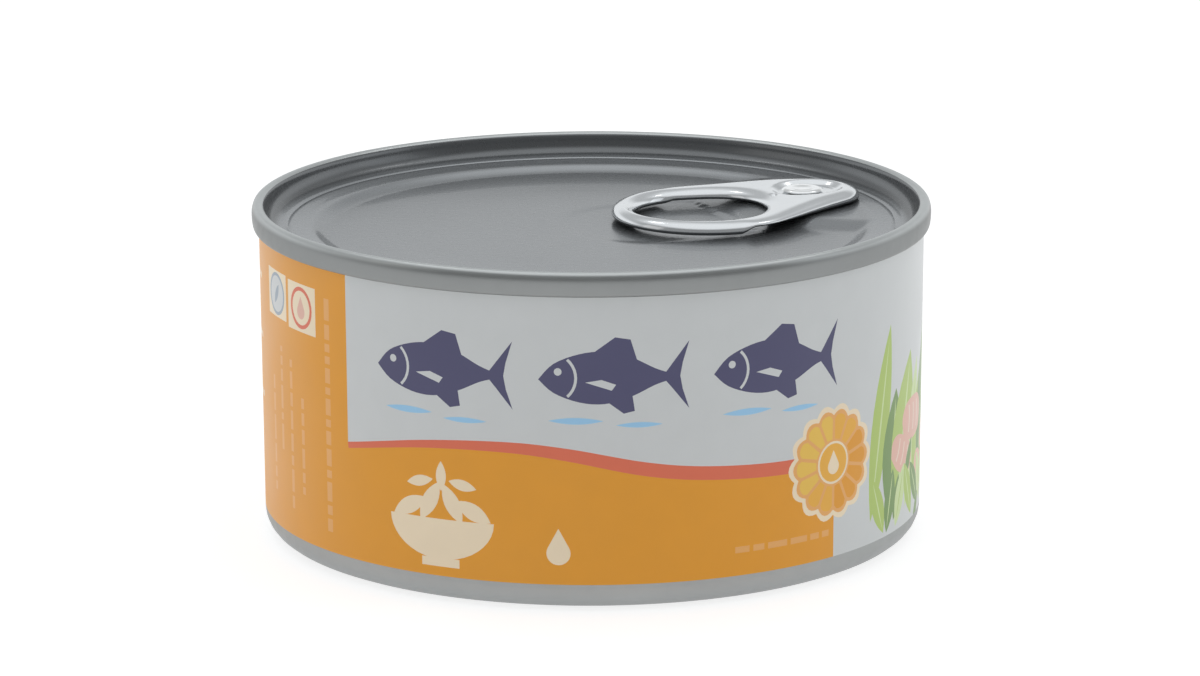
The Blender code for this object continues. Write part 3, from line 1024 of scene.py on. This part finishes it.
def tab_top(x):
    """Height of the tab's top, which rises gently towards the nose."""
    share = (x - TAB_TOP_RISE_START) / (TAB_TOP_RISE_END - TAB_TOP_RISE_START)
    return PANEL_Z + TAB_LIFT + TAB_THICKNESS + TAB_RISE * ease(share)


def turned(angle):
    """A turn about Z in degrees."""
    return Matrix.Rotation(radians(angle), 4, "Z")


def moved(distance):
    """A shift along X in millimetres."""
    return Matrix.Translation((distance * MM, 0.0, 0.0))


def tab_place():
    """The tab's frame in the can's, found by turning it about the rivet."""
    return turned(END_TURN) @ moved(RIVET_FROM_MIDDLE) @ turned(TAB_TWIST) @ moved(-RIVET_FROM_RING)


def tab_line(inset):
    """The tab's outline moved inwards, counter-clockwise: nose, tangent, ring, tangent."""
    meet = degrees(acos((TAB_RING_RADIUS - TAB_NOSE_RADIUS) / TAB_NOSE_CENTRE))
    nose = arc(TAB_NOSE_CENTRE, 0.0, TAB_NOSE_RADIUS - inset, -meet, meet, 26)
    ring = arc(0.0, 0.0, TAB_RING_RADIUS - inset, meet, 360.0 - meet, 84)
    return nose + between(nose[-1], ring[0], 20) + ring + between(ring[-1], nose[0], 20)


def from_edge(x, y):
    """How far a point of the tab lies from its outline or its finger hole, whichever is nearer."""
    slant = (TAB_RING_RADIUS - TAB_NOSE_RADIUS) / TAB_NOSE_CENTRE
    level = sqrt(1.0 - slant * slant)
    place = level * x - slant * abs(y)
    if place < 0.0:
        outer = TAB_RING_RADIUS - hypot(x, y)
    elif place > level * TAB_NOSE_CENTRE:
        outer = TAB_NOSE_RADIUS - hypot(x - TAB_NOSE_CENTRE, y)
    else:
        outer = TAB_RING_RADIUS - level * abs(y) - slant * x
    hole = hypot(x - TAB_HOLE_SHIFT, y) - TAB_HOLE_RADIUS
    return max(min(outer, hole), 0.0)


def rounding(depth):
    """How far a rolled edge falls away at this distance from the edge."""
    if depth >= EDGE_ROUND:
        return 0.0
    return EDGE_ROUND - sqrt(EDGE_ROUND ** 2 - (EDGE_ROUND - depth) ** 2)


def in_dish(x, y):
    """From 0 outside the nose's dish to 1 on its floor."""
    reach = hypot((x - DISH_CENTRE) / DISH_HALF_LENGTH, y / DISH_HALF_WIDTH)
    return ease((1.0 - reach) * DISH_HALF_WIDTH / DISH_WALL)


DIMPLE = (9.1, -1.2)
DIMPLE_RADIUS = 0.55
DIMPLE_DEPTH = 0.3


def tab_heights(x, y):
    """Underside and top of the tab at a point."""
    depth = from_edge(x, y)
    low, high = tab_bottom(x), tab_top(x)
    from_hole = hypot(x - TAB_HOLE_SHIFT, y) - TAB_HOLE_RADIUS
    drop = max(0.0, low - (high - TAB_THICKNESS))
    low -= drop * ease((CROWN_REACH - from_hole) / INNER_CURL_WIDTH)
    share = (high - low) / (TAB_THICKNESS + CURL_DEPTH)
    crown = CROWN * (1.0 - min(depth / CROWN_REACH, 1.0)) ** 2
    sunk = in_dish(x, y)
    dimple = DIMPLE_DEPTH * ease(1.0 - hypot(x - DIMPLE[0], y - DIMPLE[1]) / DIMPLE_RADIUS)
    top = high - (rounding(depth) + crown) * share - DISH_DEPTH * sunk - dimple
    bottom = low + rounding(depth) * share + (UNDERCUT_DEPTH + CURL_DEPTH) * sunk
    return bottom, top


HOLE_POINTS = 96
RIVET_HOLE_POINTS = 48
# Distances from the edge at which the flat pattern is split, past the rolled edge.
CROWN_INSETS = [0.8, 1.15, 1.5, 1.9]
# A square grid fills the rest of the pattern.
GRID_SPACING = 0.6
GRID_INSET = 2.0
GRID_ROWS = range(-20, 21)
GRID_COLUMNS = range(-20, 37)


def tab_loops():
    """Closed lines that the tab's flat pattern is split along."""
    insets = [EDGE_ROUND * (1.0 - cos(radians(angle))) for angle in range(0, 91, 15)]
    loops = []
    for inset in insets + CROWN_INSETS:
        loops.append(tab_line(inset))
        loops.append(circle(TAB_HOLE_SHIFT, 0.0, TAB_HOLE_RADIUS + inset, HOLE_POINTS))
    for share in (1.0, 0.95, 0.9, 0.85, 0.8, 0.75, 0.68):
        length, width = DISH_HALF_LENGTH * share, DISH_HALF_WIDTH * share
        loops.append([(DISH_CENTRE + length * x, width * y) for x, y in circle(0.0, 0.0, 1.0, 72)])
    loops.append(circle(RIVET_FROM_RING, 0.0, RIVET_HOLE_RADIUS, RIVET_HOLE_POINTS))
    for reach in (0.15, 0.3, DIMPLE_RADIUS):
        loops.append(circle(*DIMPLE, reach, 24))
    return loops


def clear_of_hole(middles, centre, radius, count):
    """Which points lie outside a hole that is drawn with this many points."""
    return np.hypot(middles[:, 0] - centre, middles[:, 1]) > radius * cos(pi / count)


def tab_pattern():
    """The tab's flat pattern as points and triangles, without its two holes."""
    points, edges = [], []
    for loop in tab_loops():
        edges += loop_edges(len(points), len(loop))
        points += loop
    for row in GRID_ROWS:
        for column in GRID_COLUMNS:
            x, y = column * GRID_SPACING, row * GRID_SPACING
            if from_edge(x, y) > GRID_INSET:
                points.append((x, y))
    places, faces = triangles_of(points, edges)
    middles = np.array([np.mean([places[corner] for corner in face], axis=0) for face in faces])
    kept = inside(middles, tab_line(0.0))
    kept &= clear_of_hole(middles, TAB_HOLE_SHIFT, TAB_HOLE_RADIUS, HOLE_POINTS)
    kept &= clear_of_hole(middles, RIVET_FROM_RING, RIVET_HOLE_RADIUS, RIVET_HOLE_POINTS)
    return places, [face for face, keep in zip(faces, kept) if keep]


def make_tab():
    """The ring pull as one closed mesh: top, underside and the narrow wall between."""
    places, faces = tab_pattern()
    work = bmesh.new()
    high, low = {}, {}
    for face in faces:
        for corner in face:
            if corner not in high:
                x, y = places[corner]
                bottom, top = tab_heights(x, y)
                high[corner] = work.verts.new((x * MM, y * MM, top * MM))
                low[corner] = work.verts.new((x * MM, y * MM, bottom * MM))
    border = {}
    for face in faces:
        work.faces.new([high[corner] for corner in face])
        under = work.faces.new([low[corner] for corner in reversed(face)])
        # The underside takes the dark metal: painted shade under the tab.
        under.material_index = 1
        for start, end in zip(face, face[1:] + face[:1]):
            if (end, start) in border:
                del border[(end, start)]
            else:
                border[(start, end)] = True
    for start, end in border:
        work.faces.new((high[end], high[start], low[start], low[end]))
    for face in work.faces:
        face.smooth = True
    work.transform(tab_place())
    mesh = finished_mesh(work, "ring_pull", [tab_metal(), painted_shade_under_tab_metal()], 60.0)
    new_piece("ring_pull", mesh, "ring_tab")


RIVET_SPOKES = 64
RIVET_HEAD_RADIUS = 2.7
RIVET_HEAD_HEIGHT = 0.4
# The head's rim stands this far above the dish's floor.
RIVET_HEAD_LIFT = 0.1
RIVET_BOSS_RADIUS = 3.2
RIVET_BOSS_FOOT = 3.9
RIVET_UNDER_Z = PANEL_Z + 0.3


def rivet_rings():
    """Radius and height from the rivet's head down its shank and boss."""
    boss_top = tab_bottom(RIVET_FROM_RING) + CURL_DEPTH + UNDERCUT_DEPTH - FIT_GAP
    head = tab_top(TAB_TOP_RISE_END) - DISH_DEPTH + RIVET_HEAD_LIFT
    top = head + RIVET_HEAD_HEIGHT
    return [
        (0.5, top - 0.14), (0.9, top - 0.12), (1.3, top - 0.06), (1.7, top - 0.01), (2.1, top),
        (2.4, top - 0.04), (2.6, top - 0.13), (RIVET_HEAD_RADIUS, top - 0.24), (2.6, head + 0.03),
        (RIVET_SHANK_RADIUS + 0.1, head), (RIVET_SHANK_RADIUS, head - 0.05), (RIVET_SHANK_RADIUS, boss_top),
        (RIVET_BOSS_RADIUS, boss_top), (RIVET_BOSS_FOOT, RING_FLAT_Z - 0.05),
        (RIVET_BOSS_FOOT, RIVET_UNDER_Z), (2.0, RIVET_UNDER_Z),
    ]


def make_rivet():
    """The rivet that holds the tab, formed from the end."""
    work = bmesh.new()
    (radius, height), *rings = rivet_rings()
    first = []
    for spoke in range(RIVET_SPOKES):
        angle = 2.0 * pi * spoke / RIVET_SPOKES
        first.append(work.verts.new((radius * cos(angle) * MM, radius * sin(angle) * MM, height * MM)))
    work.faces.new(first).smooth = True
    add_rings(work, first, rings, 0, False)
    x, y = around(0.0, 0.0, RIVET_FROM_MIDDLE, radians(END_TURN))
    work.transform(Matrix.Translation((x * MM, y * MM, 0.0)))
    # The rivet's near-white metal is a painted highlight.
    mesh = finished_mesh(work, "tab_rivet", [painted_highlight_rivet_metal()], 40.0)
    new_piece("tab_rivet", mesh)


# Camera, light and floor.

CAMERA_ELEVATION = 13.884
CAMERA_DISTANCE = 706.0
CAMERA_ROLL = -0.189
PHOTO_WIDTH = 1200.0
PHOTO_HEIGHT = 676.0
FOCAL_PIXELS = 5450.65
# Where the can's middle lies in the photograph, in its pixels.
CAN_MIDDLE_U = 591.84
CAN_MIDDLE_V = 359.43
SENSOR_WIDTH = 36.0


def make_camera():
    """A long lens aimed down at the can's middle, then turned to the photograph's framing."""
    camera = bpy.data.cameras.new("photo_camera")
    camera.sensor_width = SENSOR_WIDTH
    camera.lens = FOCAL_PIXELS * SENSOR_WIDTH / PHOTO_WIDTH
    camera.clip_start = 0.01
    camera.clip_end = 20.0
    holder = new_object("photo_camera", camera)
    pan = atan2(CAN_MIDDLE_U - PHOTO_WIDTH / 2.0, FOCAL_PIXELS)
    tilt = atan2(CAN_MIDDLE_V - PHOTO_HEIGHT / 2.0, FOCAL_PIXELS)
    aim = Matrix.Translation((0.0, 0.0, CAN_HEIGHT / 2.0 * MM))
    look = Matrix.Rotation(radians(90.0 - CAMERA_ELEVATION), 4, "X")
    back = Matrix.Translation((0.0, 0.0, CAMERA_DISTANCE * MM))
    frame_turn = Matrix.Rotation(pan, 4, "Y") @ Matrix.Rotation(tilt, 4, "X")
    roll = Matrix.Rotation(radians(CAMERA_ROLL), 4, "Z")
    holder.matrix_world = aim @ look @ back @ frame_turn @ roll
    bpy.context.scene.camera = holder


# The studio's brightness low and half way up, before and behind the can, and overhead.
FRONT_LOW_LEVEL = 0.27
FRONT_HIGH_LEVEL = 0.24
BACK_LOW_LEVEL = 0.98
BACK_HIGH_LEVEL = 0.5
TOP_LEVEL = 0.95
# Where one level turns into the next, as parts of the way up the sky and of the way back.
FRONT_RISE = (0.3, 0.55)
BACK_RISE = (0.28, 0.5)
TOP_RISE = (0.6, 0.88)
BACK_START = (-0.35, 0.4)
SKY_COLOUR = (0.97, 0.99, 1.0, 1.0)
WHITE = (1.0, 1.0, 1.0, 1.0)


def make_world():
    """A soft studio, dim on the camera's side, pale behind and overhead, on a white backdrop."""
    world = bpy.data.worlds.new("studio")
    bpy.context.scene.world = world
    world.use_nodes = True
    tree = world.node_tree
    place = add_node(tree, "TexCoord", {}, "Generated")
    up = add_node(tree, "SeparateXYZ", {"Vector": place}, "Z")
    back = add_node(tree, "SeparateXYZ", {"Vector": place}, "Y")
    before_can = mapped(tree, up, *FRONT_RISE, FRONT_LOW_LEVEL, FRONT_HIGH_LEVEL)
    behind_can = mapped(tree, up, *BACK_RISE, BACK_LOW_LEVEL, BACK_HIGH_LEVEL)
    depth = mapped(tree, back, *BACK_START, 0.0, 1.0)
    level = add_node(tree, "Mix", {"Factor": depth, "A": before_can, "B": behind_can}, "Result")
    rise = mapped(tree, up, *TOP_RISE, 0.0, 1.0)
    level = add_node(tree, "Mix", {"Factor": rise, "A": level, "B": TOP_LEVEL}, "Result")
    light = tree.nodes["Background"]
    light.inputs["Color"].default_value = SKY_COLOUR
    tree.links.new(level, light.inputs["Strength"])
    backdrop = add_node(tree, "Background", {"Color": WHITE}, "Background")
    seen = add_node(tree, "LightPath", {}, "Is Camera Ray")
    shown = {"Fac": seen, 1: light.outputs["Background"], 2: backdrop}
    surface = add_node(tree, "MixShader", shown, "Shader")
    tree.links.new(surface, tree.nodes["World Output"].inputs["Surface"])


LIGHT_AIM = Vector((0.0, 0.0, 0.03))


def softbox(name, place, size, power, colour):
    """A soft light with straight sides, aimed at the can."""
    lamp = bpy.data.lights.new(name, "AREA")
    lamp.shape = "RECTANGLE"
    lamp.size, lamp.size_y = size
    lamp.energy = power
    lamp.color = colour
    holder = new_object(name, lamp)
    holder.location = place
    aim = LIGHT_AIM - Vector(place)
    holder.rotation_euler = aim.to_track_quat("-Z", "Y").to_euler()


def make_lights():
    """Two small lights for the far side of the end and a large one at each side."""
    small, large = (0.12, 0.06), (0.4, 0.5)
    top_colour = (1.0, 0.99, 0.97)
    softbox("top_left_softbox", (-0.22, 0.36, 0.6), small, 0.05, top_colour)
    softbox("top_right_softbox", (0.3, 0.3, 0.6), small, 0.05, top_colour)
    softbox("left_softbox", (-0.8, -0.25, 0.35), large, 0.22, (1.0, 0.98, 0.95))
    softbox("right_softbox", (0.85, -0.1, 0.35), large, 0.32, (0.93, 0.97, 1.0))


# The floor's paint, and its own glow that keeps it white.
FLOOR_COLOUR = (0.55, 0.55, 0.55, 1.0)
FLOOR_GLOW = 0.71
FLOOR_HALF_WIDTH = 4.0
# A little below the can, so that the two don't share a plane.
FLOOR_Z = -0.00005


def make_floor():
    """A plain white table."""
    work = bmesh.new()
    bmesh.ops.create_grid(work, x_segments=2, y_segments=2, size=FLOOR_HALF_WIDTH)
    material, _, shader = new_material("white_table")
    shader.inputs["Base Color"].default_value = FLOOR_COLOUR
    shader.inputs["Roughness"].default_value = 0.7
    shader.inputs["Specular IOR Level"].default_value = 0.1
    shader.inputs["Emission Color"].default_value = WHITE
    shader.inputs["Emission Strength"].default_value = FLOOR_GLOW
    table = new_object("table_top", finished_mesh(work, "table_top", [material], 40.0))
    table.location = (0.0, 0.0, FLOOR_Z)


def main():
    """The whole scene: camera and studio, then the can's four pieces."""
    make_camera()
    make_world()
    make_lights()
    make_floor()
    make_wall()
    make_end()
    make_tab()
    make_rivet()
    bpy.context.scene.view_settings.view_transform = "Standard"


main()

bpy.context.view_layer.update()
